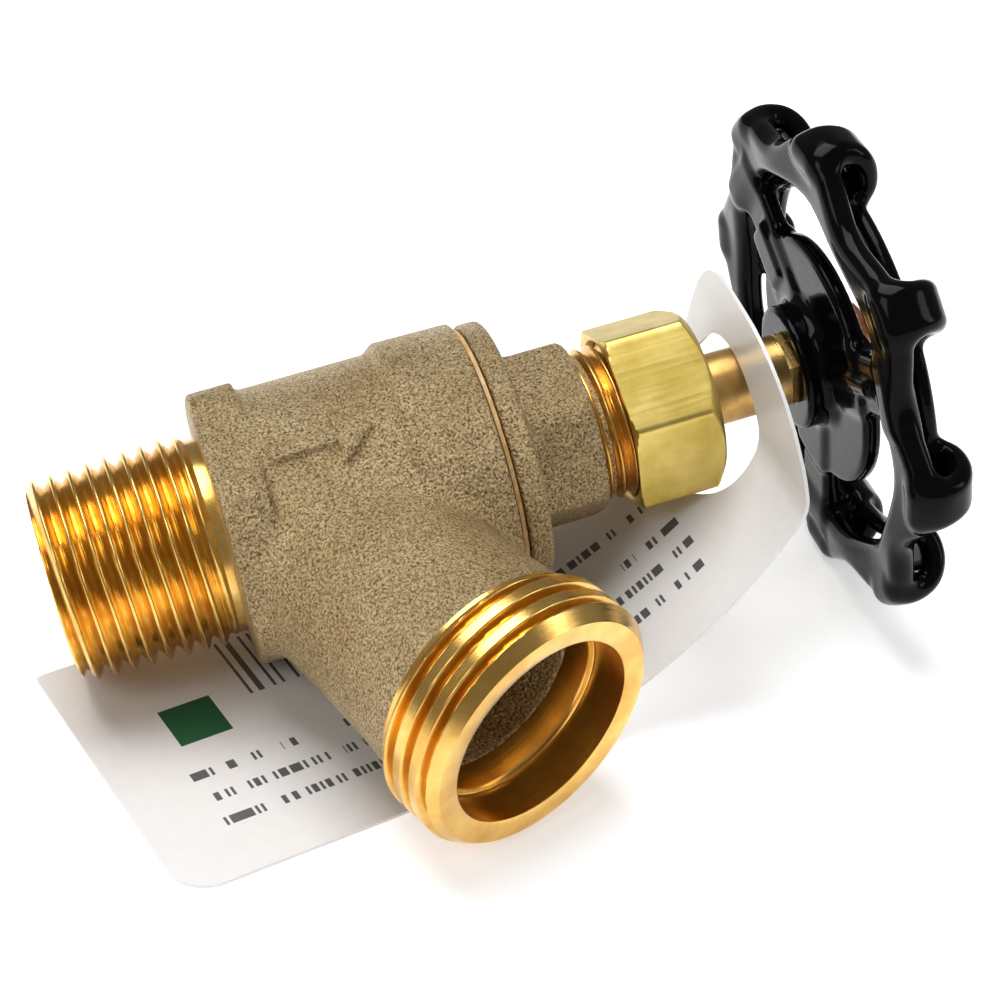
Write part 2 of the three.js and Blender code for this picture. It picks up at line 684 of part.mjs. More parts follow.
// Distances along the tag where it is cut across, closer together at its rounded corners and curls.
function tagStations() {
  const corner = [0, 0.04, 0.15, 0.35, 0.62];
  const evenly = (start, end, count) => Array.from({ length: count }, (_, i) => start + ((end - start) * i) / count);
  return [
    ...corner.map((share) => share * TAG_CORNER_R),
    ...evenly(TAG_CORNER_R, TAG_FLAT, 2),
    ...evenly(TAG_FLAT, TAG_CURL, 12),
    ...evenly(TAG_CURL, TAG_LIP, 14),
    ...evenly(TAG_LIP, TAG_LENGTH - TAG_HOLE_CORNER_R * corner[4], 4),
    ...corner.map((share) => TAG_LENGTH - share * TAG_HOLE_CORNER_R).reverse(),
  ];
}

function hangTag() {
  const stations = tagStations();
  const cuts = stations.length - 1;
  const geometry = new THREE.BoxGeometry(1, 2, TAG_THICK, cuts, 2, 1);
  const position = geometry.attributes.position;
  for (let i = 0; i < position.count; i++) {
    const at = stations[Math.round((position.getX(i) + 0.5) * cuts)];
    const share = position.getY(i);
    const free = tagHalfWidth(share < 0 ? TAG_CORNER_R : TAG_SHARP_R, at);
    const hung = tagHalfWidth(TAG_HOLE_CORNER_R, TAG_LENGTH - at);
    const point = onTag(at, share * Math.min(free, hung), position.getZ(i));
    position.setXYZ(i, point.x, point.y, point.z);
  }
  const { along, across, normal } = tagDirections(TAG_HOLE_AT);
  const punch = new THREE.CylinderGeometry(TAG_HOLE_R, TAG_HOLE_R, TAG_HOLE_R, FINE);
  punch.applyMatrix4(new THREE.Matrix4().makeBasis(along, normal, across));
  punch.translate(...onTag(TAG_HOLE_AT, TAG_HOLE_SIDE, 0).toArray());
  return solid(geometry).subtract(solid(punch));
}

// ---------------------------------------------------------------- the assembly
function piece(name, made, color, roughness, metalness) {
  const material = new THREE.MeshStandardMaterial({ color, roughness, metalness });
  const mesh = new THREE.Mesh(geometryOf(made), material);
  mesh.name = name;
  return mesh;
}

const CAST = [0x8f7a58, 0.6, 0.9];
const BRASS = [0xc9b458, 0.35, 1];
const STEM_BRASS = [0x9c7a3c, 0.4, 1];
const GASKET = [0xb98a3a, 0.6, 0.2];
const PACKING = [0x2c2c2e, 0.8, 0];
const RUBBER = [0x1b1b1d, 0.7, 0];
const BLACK = [0x0a0a0c, 0.12, 0];
const COPPER = [0xb06a45, 0.35, 1];
const CARD = [0xf2f0ee, 0.45, 0];

const valve = new THREE.Group();
valve.add(
  piece("body", body(), ...CAST),
  piece("bonnet", bonnet(), ...CAST),
  piece("bonnet_gasket", bonnetGasket(), ...GASKET),
  piece("packing_washer", boxRing(PACKING_WASHER_START, PACKING_WASHER_THICK), ...BRASS),
  piece("packing_ring_lower", boxRing(RING_LOWER_START, PACKING_RING_THICK), ...PACKING),
  piece("packing_ring_upper", boxRing(RING_UPPER_START, PACKING_RING_THICK), ...PACKING),
  piece("packing_gland", packingGland(), ...BRASS),
  piece("packing_nut", packingNut(), ...BRASS),
  piece("stem", stem(), ...STEM_BRASS),
  piece("disc_holder", discHolder(), ...BRASS),
  piece("disc_lock_nut", discLockNut(), ...BRASS),
  piece("seat_washer", seatWasher(), ...RUBBER),
  piece("seat_washer_screw", seatWasherScrew(), ...BRASS),
  piece("handwheel", handwheel(), ...BLACK),
  piece("handwheel_screw", handwheelScrew(), ...COPPER),
);
valve.rotation.set(rad(-ROLL), rad(-TILT), 0, "YXZ");
valve.position.z = REST_HEIGHT;

const bib = new THREE.Group();
bib.add(valve, piece("hang_tag", hangTag(), ...CARD));

// The frame's origin is the bottom centre of the whole assembly's box.
const box = new THREE.Box3().setFromObject(bib, true);
bib.position.set(-(box.min.x + box.max.x) / 2, -(box.min.y + box.max.y) / 2, -box.min.z);

const group = new THREE.Group();
group.add(bib);

export default group;
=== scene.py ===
import math

import bmesh
import bpy
import numpy as np
from mathutils import Matrix, Vector


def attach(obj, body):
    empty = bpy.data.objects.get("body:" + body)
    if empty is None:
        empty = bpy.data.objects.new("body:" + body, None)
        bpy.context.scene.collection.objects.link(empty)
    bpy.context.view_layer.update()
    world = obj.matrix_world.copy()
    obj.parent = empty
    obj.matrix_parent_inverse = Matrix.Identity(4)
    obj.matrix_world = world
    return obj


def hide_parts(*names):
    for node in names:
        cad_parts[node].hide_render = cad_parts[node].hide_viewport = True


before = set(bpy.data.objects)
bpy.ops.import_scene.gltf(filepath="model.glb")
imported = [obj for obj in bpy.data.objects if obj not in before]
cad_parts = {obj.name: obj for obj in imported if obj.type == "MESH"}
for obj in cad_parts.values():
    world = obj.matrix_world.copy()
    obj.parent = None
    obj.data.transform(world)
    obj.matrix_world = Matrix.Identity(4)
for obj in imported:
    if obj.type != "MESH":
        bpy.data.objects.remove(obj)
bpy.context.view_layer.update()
MM = 0.001
INCH = 25.4

# ------------------------------------------------------------------ the valve's own frame, millimetres
# x runs along the stem axis from the inlet's end face; the outlet leans from +x towards -z.
TILT = math.radians(10.56)
ROLL = math.radians(81.01)
ORIGIN = np.array([-43.742831, 6.274317, 11.573764])
AXES = np.array(Matrix.Rotation(-TILT, 3, "Y") @ Matrix.Rotation(-ROLL, 3, "X"))
STEM_DIR, SIDE_DIR, UP_DIR = AXES.T
OUTLET_ANGLE = math.radians(67.5)
OUTLET_START = 24.7
OUTLET_LENGTH = 37.7
OUTLET_AXIS = np.array([math.cos(OUTLET_ANGLE), 0, -math.sin(OUTLET_ANGLE)])
OUTLET_SIDE = np.array([0.0, 1.0, 0.0])
OUTLET_UP = np.cross(OUTLET_AXIS, OUTLET_SIDE)
OUT_DIR = AXES @ OUTLET_AXIS


def to_row(points):
    """From the valve's frame to the object's own frame, in metres."""
    return (np.asarray(points, float) @ AXES.T + ORIGIN) * MM


def to_valve(points):
    """Back from the object's frame to the valve's, in millimetres."""
    return (np.asarray(points, float) / MM - ORIGIN) @ AXES


def onto_outlet(points):
    """From the outlet's own frame, x along its axis, to the valve's frame."""
    basis = np.array([OUTLET_AXIS, OUTLET_SIDE, OUTLET_UP])
    return np.asarray(points, float) @ basis + np.array([OUTLET_START, 0, 0])


# ------------------------------------------------------------------ camera
CAMERA_PLACE = (-0.062212, -0.180311, 0.159817)
CAMERA_DEGREES = (53.4713, -2.8047, -16.9028)
camera = bpy.data.objects.new("camera", bpy.data.cameras.new("camera"))
camera.data.sensor_width = 36
camera.data.lens = 86.4
camera.data.clip_start = 0.01
camera.location = CAMERA_PLACE
camera.rotation_euler = [math.radians(angle) for angle in CAMERA_DEGREES]
bpy.context.scene.collection.objects.link(camera)
bpy.context.scene.camera = camera
bpy.context.scene.view_settings.view_transform = "Standard"


# ------------------------------------------------------------------ node helpers
class Nodes:
    """A material's node tree, with short ways to add and join nodes."""

    def __init__(self, name):
        self.material = bpy.data.materials.new(name)
        self.material.use_nodes = True
        self.tree = self.material.node_tree
        self.shader = self.tree.nodes["Principled BSDF"]
        self.place = self.tree.nodes.new("ShaderNodeTexCoord").outputs["Object"]

    def join(self, value, socket):
        if isinstance(value, bpy.types.NodeSocket):
            self.tree.links.new(value, socket)
        elif value is not None:
            socket.default_value = value

    def set(self, **values):
        names = {"color": "Base Color", "rough": "Roughness", "metal": "Metallic", "normal": "Normal",
                 "specular": "Specular IOR Level"}
        for key, value in values.items():
            self.join(value, self.shader.inputs[names[key]])

    def noise(self, scale, detail=4.0, rough=0.55, stretch=None):
        node = self.tree.nodes.new("ShaderNodeTexNoise")
        node.inputs["Scale"].default_value = scale
        node.inputs["Detail"].default_value = detail
        node.inputs["Roughness"].default_value = rough
        self.join(self.place if stretch is None else self.along(stretch), node.inputs["Vector"])
        return node.outputs["Fac"]

    def along(self, rows):
        """Coordinates read along three directions: each row is a direction times its scale."""
        out = self.tree.nodes.new("ShaderNodeCombineXYZ")
        for i, row in enumerate(rows):
            dot = self.tree.nodes.new("ShaderNodeVectorMath")
            dot.operation = "DOT_PRODUCT"
            self.join(self.place, dot.inputs[0])
            dot.inputs[1].default_value = [float(x) for x in row]
            self.tree.links.new(dot.outputs["Value"], out.inputs[i])
        return out.outputs[0]

    def voronoi(self, scale):
        node = self.tree.nodes.new("ShaderNodeTexVoronoi")
        node.inputs["Scale"].default_value = scale
        self.join(self.place, node.inputs["Vector"])
        return node.outputs["Distance"]

    def math(self, operation, *values):
        node = self.tree.nodes.new("ShaderNodeMath")
        node.operation = operation
        for i, value in enumerate(values):
            self.join(value, node.inputs[i])
        return node.outputs[0]

    def remap(self, value, low, high, start=0.0, end=1.0):
        node = self.tree.nodes.new("ShaderNodeMapRange")
        self.join(value, node.inputs[0])
        for i, number in enumerate((low, high, start, end)):
            node.inputs[i + 1].default_value = number
        return node.outputs[0]

    def mix(self, share, first, second):
        node = self.tree.nodes.new("ShaderNodeMix")
        node.data_type = "RGBA"
        self.join(share, node.inputs[0])
        self.join(first, node.inputs[6])
        self.join(second, node.inputs[7])
        return node.outputs[2]

    def bump(self, height, distance, strength=1.0, normal=None):
        node = self.tree.nodes.new("ShaderNodeBump")
        node.inputs["Strength"].default_value = strength
        node.inputs["Distance"].default_value = distance
        self.join(height, node.inputs["Height"])
        self.join(normal, node.inputs["Normal"])
        return node.outputs[0]


def rgb(r, g, b):
    """Linear colour from display values of 0 to 255."""
    shares = [c / 255 for c in (r, g, b)]
    return (*(c / 12.92 if c <= 0.04 else ((c + 0.055) / 1.055) ** 2.4 for c in shares), 1.0)


# ------------------------------------------------------------------ materials
def cast_brass():
    """Sand-cast brass: a matt skin of fine light and dark grains."""
    n = Nodes("cast_brass")
    broad = n.noise(130, 3)
    grain = n.noise(4300, 4, 0.6)
    sand = n.voronoi(2600)
    base = n.mix(n.remap(broad, 0.3, 0.7), rgb(198, 172, 125), rgb(220, 197, 152))
    speck = n.mix(n.remap(grain, 0.34, 0.6), rgb(88, 67, 39), base)
    n.set(color=speck, metal=0.8, rough=n.remap(grain, 0.3, 0.7, 0.5, 0.34))
    rough = n.bump(grain, 0.00034, 0.85)
    rough = n.bump(sand, 0.0002, 0.6, rough)
    n.set(normal=n.bump(n.noise(320, 2), 0.0005, 0.35, rough))
    return n.material


def turned_brass(name, light, dark, rough, axis):
    """Machined brass: fine turning lines round an axis, and soft stains."""
    n = Nodes(name)
    lines = n.noise(1.0, 2, 0.5, [axis * 26000, SIDE_DIR * 60, UP_DIR * 60])
    stain = n.noise(240, 3, 0.6)
    n.set(color=n.mix(n.remap(stain, 0.35, 0.68), dark, light), metal=1.0,
          rough=n.remap(stain, 0.3, 0.7, rough + 0.1, rough),
          normal=n.bump(lines, 0.00002, 0.5))
    return n.material


def nut_brass():
    """Bright drawn brass, with fine marks along its flats."""
    n = Nodes("nut_brass")
    marks = n.noise(1.0, 3, 0.6, [STEM_DIR * 110, SIDE_DIR * 2600, UP_DIR * 2600])
    stain = n.noise(260, 3, 0.6)
    color = n.mix(n.remap(stain, 0.32, 0.7), rgb(204, 177, 86), rgb(230, 206, 122))
    n.set(color=color, metal=1.0, rough=n.remap(marks, 0.3, 0.7, 0.44, 0.32),
          normal=n.bump(marks, 0.00002, 0.35))
    return n.material


def enamel():
    """Glossy black enamel with a slight orange peel."""
    n = Nodes("black_enamel")
    peel = n.noise(420, 2, 0.5)
    n.set(color=n.mix(n.remap(peel, 0.3, 0.7), rgb(4, 4, 5), rgb(8, 8, 10)),
          rough=n.remap(peel, 0.3, 0.7, 0.14, 0.08), specular=0.08, normal=n.bump(peel, 0.0002, 0.12))
    return n.material


def plain_metal(name, light, dark, rough):
    n = Nodes(name)
    stain = n.noise(520, 4, 0.6)
    n.set(color=n.mix(n.remap(stain, 0.35, 0.65), dark, light), metal=1.0,
          rough=n.remap(stain, 0.3, 0.7, rough + 0.12, rough), normal=n.bump(stain, 0.00003, 0.4))
    return n.material


def soft_stuff(name, light, dark, rough, scale, depth):
    """Rubber, packing or gasket: a matt grain."""
    n = Nodes(name)
    grain = n.noise(scale, 4, 0.6)
    n.set(color=n.mix(n.remap(grain, 0.35, 0.65), dark, light), rough=rough,
          normal=n.bump(grain, depth, 0.6))
    return n.material


# Plain marks on the card, in millimetres: [start, end] along it, [low, high] across it, row pitch
TEXT_BLOCKS = [[7.3, 65.6, -11.9, -1.7, 3.4], [40.0, 63.2, -0.4, 3.0, 3.4]]
BARS = [17.0, 36.0, 4.8, 13.4]
PATCH = [8.4, 14.0, 1.0, 6.6]


def random_cells(n, at, width, row, share):
    """0 in a share of the cells of a width along the card and 1 in the rest, afresh in each row."""
    pick = n.tree.nodes.new("ShaderNodeTexWhiteNoise")
    pick.noise_dimensions = "2D"
    cell = n.tree.nodes.new("ShaderNodeCombineXYZ")
    n.join(n.math("FLOOR", n.math("DIVIDE", at, width)), cell.inputs[0])
    n.join(row, cell.inputs[1])
    n.join(cell.outputs[0], pick.inputs["Vector"])
    return n.math("GREATER_THAN", pick.outputs["Value"], share)


def card():
    """White card with rows of broken dashes, bars and a plain square."""
    n = Nodes("tag_card")
    split = n.tree.nodes.new("ShaderNodeSeparateXYZ")
    flat = n.tree.nodes.new("ShaderNodeUVMap")
    flat.uv_map = "flat"
    n.join(flat.outputs[0], split.inputs[0])
    at, side = split.outputs[0], split.outputs[1]

    def inside(value, low, high):
        return n.math("MULTIPLY", n.math("GREATER_THAN", value, low), n.math("LESS_THAN", value, high))

    def area(start, end, low, high):
        return n.math("MULTIPLY", inside(at, start, end), inside(side, low, high))

    bars = n.tree.nodes.new("ShaderNodeTexWhiteNoise")
    bars.noise_dimensions = "1D"
    n.join(n.math("FLOOR", n.math("DIVIDE", at, 0.33)), bars.inputs["W"])
    ink = n.math("MULTIPLY", n.math("GREATER_THAN", bars.outputs["Value"], 0.45), area(*BARS))
    for start, end, low, high, pitch in TEXT_BLOCKS:
        rows = n.math("DIVIDE", n.math("SUBTRACT", side, low), pitch)
        row = n.math("FLOOR", rows)
        band = inside(n.math("FRACT", rows), 0.3, 0.64)
        strokes = random_cells(n, at, 0.3, row, 0.47)
        words = random_cells(n, at, 1.7, row, 0.2)
        dashes = n.math("MULTIPLY", band, n.math("MULTIPLY", strokes, words))
        ink = n.math("MAXIMUM", ink, n.math("MULTIPLY", dashes, area(start, end, low, high)))
    fibre = n.noise(900, 4, 0.6)
    paper = n.mix(fibre, rgb(226, 224, 223), rgb(234, 233, 232))
    color = n.mix(ink, paper, rgb(88, 88, 92))
    color = n.mix(area(*PATCH), color, rgb(34, 92, 62))
    n.set(color=color, rough=0.32, specular=0.5, normal=n.bump(fibre, 0.00002, 0.35))
    return n.material


CAST = cast_brass()
THREAD = turned_brass("turned_brass", rgb(242, 202, 120), rgb(216, 168, 84), 0.15, STEM_DIR)
OUTLET_BRASS = turned_brass("outlet_brass", rgb(238, 196, 112), rgb(214, 166, 86), 0.16, OUT_DIR)
NECK = turned_brass("neck_brass", rgb(236, 190, 108), rgb(204, 152, 76), 0.2, STEM_DIR)
NUT = nut_brass()
STEM = turned_brass("stem_brass", rgb(220, 182, 112), rgb(180, 138, 78), 0.26, STEM_DIR)
INNER = plain_metal("inner_brass", rgb(206, 170, 92), rgb(172, 132, 62), 0.3)
ENAMEL = enamel()
COPPER = plain_metal("screw_copper", rgb(204, 138, 100), rgb(160, 92, 58), 0.24)
GASKET = soft_stuff("gasket", rgb(222, 186, 128), rgb(196, 152, 90), 0.5, 900, 0.00005)
PACKING = soft_stuff("packing", rgb(58, 58, 62), rgb(30, 30, 33), 0.75, 2600, 0.0001)
RUBBER = soft_stuff("seat_rubber", rgb(38, 38, 40), rgb(20, 20, 22), 0.6, 700, 0.00003)
CARD = card()


# ------------------------------------------------------------------ mesh helpers
def mesh_object(name, points, faces, material, in_valve=True):
    """A mesh from points in the valve's frame, or in the object's frame if in_valve is False."""
    mesh = bpy.data.meshes.new(name)
    mesh.from_pydata((to_row(points) if in_valve else np.asarray(points)).tolist(), [], faces)
    mesh.validate()
    mesh.update()
    obj = bpy.data.objects.new(name, mesh)
    bpy.context.scene.collection.objects.link(obj)
    mesh.materials.append(material)
    return obj


def angles(sides):
    return 2 * np.pi * np.arange(sides) / sides


def sweep(rows, closed, sides):
    """Grid round the x axis. Each row is (stations, radii) over the angles; open ends lie on the axis."""
    around = angles(sides)
    points, ids = [], []
    for station, radius in rows:
        station = np.broadcast_to(np.asarray(station, float), (sides,))
        radius = np.broadcast_to(np.asarray(radius, float), (sides,))
        if radius.max() < 1e-9:
            ids.append([len(points)] * sides)
            points.append([station[0], 0, 0])
            continue
        ids.append(list(range(len(points), len(points) + sides)))
        points.extend(np.c_[station, radius * np.cos(around), radius * np.sin(around)].tolist())
    faces = []
    spans = list(zip(ids, ids[1:])) + ([(ids[-1], ids[0])] if closed else [])
    for a, b in spans:
        for j in range(sides):
            k = (j + 1) % sides
            quad = [a[j], a[k], b[k], b[j]]
            face = [q for i, q in enumerate(quad) if q not in quad[:i]]
            if len(face) > 2:
                faces.append(face)
    return np.array(points), faces


def smooth_by_angle(obj, degrees):
    for polygon in obj.data.polygons:
        polygon.use_smooth = True
    obj.data.set_sharp_from_angle(angle=math.radians(degrees))


def outward(obj):
    """Turns every face of a closed mesh to the outside."""
    bm = bmesh.new()
    bm.from_mesh(obj.data)
    bmesh.ops.recalc_face_normals(bm, faces=bm.faces)
    if bm.calc_volume(signed=True) < 0:
        bmesh.ops.reverse_faces(bm, faces=bm.faces)
    bm.to_mesh(obj.data)
    bm.free()


def cut(obj, tool):
    """Takes a tool's shape out of a piece."""
    modifier = obj.modifiers.new("cut", "BOOLEAN")
    modifier.operation = "DIFFERENCE"
    modifier.solver = "EXACT"
    modifier.object = tool
    graph = bpy.context.evaluated_depsgraph_get()
    graph.update()
    mesh = bpy.data.meshes.new_from_object(obj.evaluated_get(graph))
    obj.modifiers.clear()
    obj.data = mesh
    bpy.data.objects.remove(tool)


def surface_net(name, field, low, high, step, material):
    """Closed quad mesh round the inside of a field, in the valve's frame."""
    axes = [np.arange(low[i], high[i] + step, step) for i in range(3)]
    shape = tuple(len(a) for a in axes)
    values = np.empty(shape)
    yy, zz = np.meshgrid(axes[1], axes[2], indexing="ij")
    for i, x in enumerate(axes[0]):
        values[i] = field(np.c_[np.full(yy.size, x), yy.ravel(), zz.ravel()]).reshape(yy.shape)
    inside = values < 0
    cells = tuple(n - 1 for n in shape)
    count = np.zeros(cells, int)
    for corner in np.ndindex(2, 2, 2):
        count += inside[tuple(slice(c, c + n) for c, n in zip(corner, cells))]
    # One point in each cell that the surface crosses, one face on each grid edge that it crosses
    active = (count > 0) & (count < 8)
    ids = np.full(cells, -1)
    ids[active] = np.arange(active.sum())
    where = np.argwhere(active)
    points = np.stack([axes[i][where[:, i]] + step / 2 for i in range(3)], 1)
    faces = []
    for axis in range(3):
        u, v = (axis + 1) % 3, (axis + 2) % 3
        first = [slice(1, -1)] * 3
        first[axis] = slice(0, -1)
        second = list(first)
        second[axis] = slice(1, None)
        a, b = inside[tuple(first)], inside[tuple(second)]
        for flag, flip in ((a & ~b, False), (~a & b, True)):
            spots = np.argwhere(flag)
            spots[:, u] += 1
            spots[:, v] += 1
            quad = []
            for du, dv in ((-1, -1), (0, -1), (0, 0), (-1, 0)):
                cell = spots.copy()
                cell[:, u] += du
                cell[:, v] += dv
                quad.append(ids[cell[:, 0], cell[:, 1], cell[:, 2]])
            quad = np.stack(quad, 1)
            faces.append(quad[:, ::-1] if flip else quad)
    return mesh_object(name, points, np.vstack(faces).tolist(), material)


def settle(obj, field, steps, relax):
    """Moves a fine mesh's points onto a field's zero surface, evening them out in the first steps."""
    probe, least_slope, most = 0.03, 0.15, 0.6
    mesh = obj.data
    count = len(mesh.vertices)
    co = np.empty(count * 3)
    mesh.vertices.foreach_get("co", co)
    p = to_valve(co.reshape(-1, 3))
    edge = np.empty(len(mesh.edges) * 2, int)
    mesh.edges.foreach_get("vertices", edge)
    edge = edge.reshape(-1, 2)
    degree = np.bincount(edge.ravel(), minlength=count)[:, None]

    def project(p):
        offsets = np.eye(3) * probe
        slope = np.stack([(field(p + offset) - field(p - offset)) / (2 * probe) for offset in offsets], 1)
        size = np.maximum((slope * slope).sum(1), least_slope)
        return p - slope * np.clip(field(p) / size, -most, most)[:, None]

    for i in range(steps):
        p = project(p)
        if i < relax:
            mean = np.zeros_like(p)
            for axis in range(3):
                mean[:, axis] = (np.bincount(edge[:, 0], p[edge[:, 1], axis], count)
                                 + np.bincount(edge[:, 1], p[edge[:, 0], axis], count))
            p += 0.5 * (mean / degree - p)
    mesh.vertices.foreach_set("co", to_row(p).ravel())
    mesh.update()


def give(obj, body, node):
    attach(obj, body)
    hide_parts(node)


# ------------------------------------------------------------------ fields, below zero inside
def smin(a, b, k):
    """Smooth lesser of two values, over a width k."""
    h = np.clip(0.5 + 0.5 * (b - a) / k, 0, 1)
    return b + (a - b) * h - k * h * (1 - h)


def smax(a, b, k):
    return -smin(-a, -b, k)


def round_form(s, r, outline, start, end, k=0.5):
    """Field of a turned form: an outline of [station, radius], between two flat ends."""
    stations, radii = zip(*outline)
    return smax(r - np.interp(s, stations, radii), smax(start - s, s - end, k), k)


def hexagon(y, z, flats, angle, k):
    """Field of a hexagon bar along x, with a flat facing an angle and its corners eased by k."""
    out = None
    for i in range(3):
        a = math.radians(angle + 60 * i)
        side = np.abs(y * math.cos(a) + z * math.sin(a)) - flats / 2
        out = side if out is None else smax(out, side, k)
    return out


def hex_radius(theta, flats, angle, power):
    """Radius of a hexagon at each angle: the higher the power, the sharper the corners."""
    total = sum(np.abs(np.cos(theta - math.radians(angle + 60 * i))) ** power for i in range(3))
    return flats / 2 / total ** (1 / power)


def in_outlet(p):
    """Station along the outlet's axis, and distance from it."""
    q = p - np.array([OUTLET_START, 0, 0])
    return q @ OUTLET_AXIS, np.hypot(q @ OUTLET_SIDE, q @ OUTLET_UP)


# ------------------------------------------------------------------ body casting
INLET_CUT = 16.9
COLLAR_START, COLLAR_END = 17.3, 22.0
COLLAR_FLATS, COLLAR_ANGLE = 26.5, 4
BODY_END = 44.4
SPOUT_START, SPOUT_END = 2, 30.2
ARROW_STATION, ARROW_ANGLE, ARROW_HEIGHT = 28.6, -163, 0.65
BAR_STATION, BAR_ANGLES, BAR_HEIGHT = 19.7, (-156, -148), 0.4
MARK_EDGE = 0.45


def arrow(along, across):
    """Flat distance to a flow arrow that points along +along."""
    shaft = np.maximum(np.abs(across) - 0.8, np.abs(along + 2.2) - 3.4)
    head = np.maximum((np.abs(across) + 0.85 * (along - 1.0) - 3.2) / 1.3, 1.0 - along)
    return np.minimum(shaft, head)


def around_to(theta, degrees):
    """Angle from a place on the barrel, between -pi and pi."""
    return (theta - math.radians(degrees) + np.pi) % (2 * np.pi) - np.pi


def raised(distance):
    """1 inside a raised mark, 0 outside, with a sloping edge."""
    return np.clip(0.5 - distance / MARK_EDGE, 0, 1)


def casting_field(p):
    x, y, z = p[:, 0], p[:, 1], p[:, 2]
    r = np.hypot(y, z)
    barrel = round_form(x, r, [(17, 13.2), (35.5, 13.15), (36.6, 14.0), (BODY_END, 13.85)],
                        COLLAR_START + 0.3, BODY_END, 0.35)
    collar = smax(smax(hexagon(y, z, COLLAR_FLATS, COLLAR_ANGLE, 0.3), r - 14.6, 0.5),
                  smax(COLLAR_START - x, x - COLLAR_END, 0.3), 0.45)
    s, q = in_outlet(p)
    spout = round_form(s, q, [(2, 11), (17, 11.1), (25, 11.6), (29.5, 12.1), (31, 12.2)],
                       SPOUT_START, SPOUT_END, 0.4)
    outer = smin(smin(barrel, spout, 1.8), collar, 0.9)
    theta = np.arctan2(z, y)
    turn = around_to(theta, ARROW_ANGLE)
    outer = outer - ARROW_HEIGHT * raised(arrow(x - ARROW_STATION, turn * 13.2)) * (np.abs(turn) < 1)
    for degrees in BAR_ANGLES:
        bar = np.maximum(np.abs(around_to(theta, degrees)) * 13.3 - 0.35, np.abs(x - BAR_STATION) - 1.3)
        outer = outer - BAR_HEIGHT * raised(bar)
    chamber = round_form(x, r, [(19, 10.6), (35.99, 10.6), (36.01, 11.5), (46, 11.5)], 19.4, 46, 0.3)
    seat = np.maximum(r - np.interp(x, [19.4, 22], [7, 6.5]), x - 22)
    chamber = np.maximum(chamber, -seat)
    inlet = np.maximum(r - np.interp(x, [16.4, 17.4], [6.9, 5.2]), x - 23)
    outlet = np.maximum(q - np.interp(s, [1, 33.2], [8.2, 9.3]), 1 - s)
    holes = np.minimum(np.minimum(chamber, inlet), outlet)
    return np.maximum(smax(outer, -holes, 0.25), INLET_CUT - x)


def body_casting():
    obj = surface_net("body_casting", casting_field, (16, -16, -40), (45.5, 16, 16), 0.36, CAST)
    settle(obj, casting_field, 5, 2)
    outward(obj)
    smooth_by_angle(obj, 50)
    give(obj, "valve", "body")


def helix(station, theta, first, pitch, crest, depth, flat):
    """Radius of a right-hand thread whose crest passes the station called first at angle 0."""
    phase = (station - first) / pitch - theta / (2 * np.pi)
    away = np.abs(phase - np.round(phase)) * 2
    t = (away - flat) / (1 - 1.25 * flat)
    t = np.clip(0.5 * (t + np.sqrt(t * t + 0.012)), 0, 1)
    return crest - depth * (0.6 * t + 0.4 * t * t * (3 - 2 * t))


def inlet_thread():
    sides = 200
    th = angles(sides)
    rows = [(0.0, 7.3), (0.0, 9.2)]
    for x in np.arange(0.0, 16.3, 0.06):
        crest = 10.33 + x / 32
        r = helix(x, th, 0.16, INCH / 14, crest, 1.25, 0.1)
        r = np.minimum(r, 9.3 + 1.2 * x)
        fade = np.clip((x - 14.7) / 1.4, 0, 1)
        rows.append((x, r * (1 - fade) + 9.9 * fade))
    rows += [(16.5, 9.9), (17.2, 9.9), (17.6, 9.9), (17.6, 7.4), (16.6, 6.9), (1.0, 6.9), (0.4, 6.95)]
    points, faces = sweep(rows, True, sides)
    obj = mesh_object("inlet_thread", points, faces, THREAD)
    outward(obj)
    smooth_by_angle(obj, 50)
    give(obj, "valve", "body")


def outlet_thread():
    sides = 240
    th = angles(sides)
    first = OUTLET_LENGTH - 1.85
    pitch = INCH / 11.5
    rows = [(OUTLET_LENGTH, 10.35), (OUTLET_LENGTH, 12.0)]
    for s in np.arange(OUTLET_LENGTH, 29.6, -0.055):
        r = helix(s, th, first, pitch, 13.45, 1.05, 0.5)
        r = np.minimum(r, 12.3 + 0.85 * (OUTLET_LENGTH - s))
        fade = np.clip((31.2 - s) / 1.2, 0, 1)
        fade = fade * fade * (3 - 2 * fade)
        rows.append((s, r * (1 - fade) + 12.25 * fade))
    ledge = OUTLET_LENGTH - 4.5
    rows += [(29.6, 12.25), (29.6, 9.35), (ledge - 0.2, 9.3), (ledge, 9.45), (ledge, 9.9),
             (ledge + 0.12, 10.05), (37.5, 10.05)]
    points, faces = sweep(rows, True, sides)
    obj = mesh_object("outlet_thread", onto_outlet(points), faces, OUTLET_BRASS)
    outward(obj)
    smooth_by_angle(obj, 40)
    give(obj, "valve", "body")


# ------------------------------------------------------------------ bonnet and packing nut
BONNET_FLATS, BONNET_ANGLE = 16.7, 2.2
NUT_FLATS, NUT_ANGLE = 17.46, 24.7
NUT_START, NUT_END = 58.0, 67.3


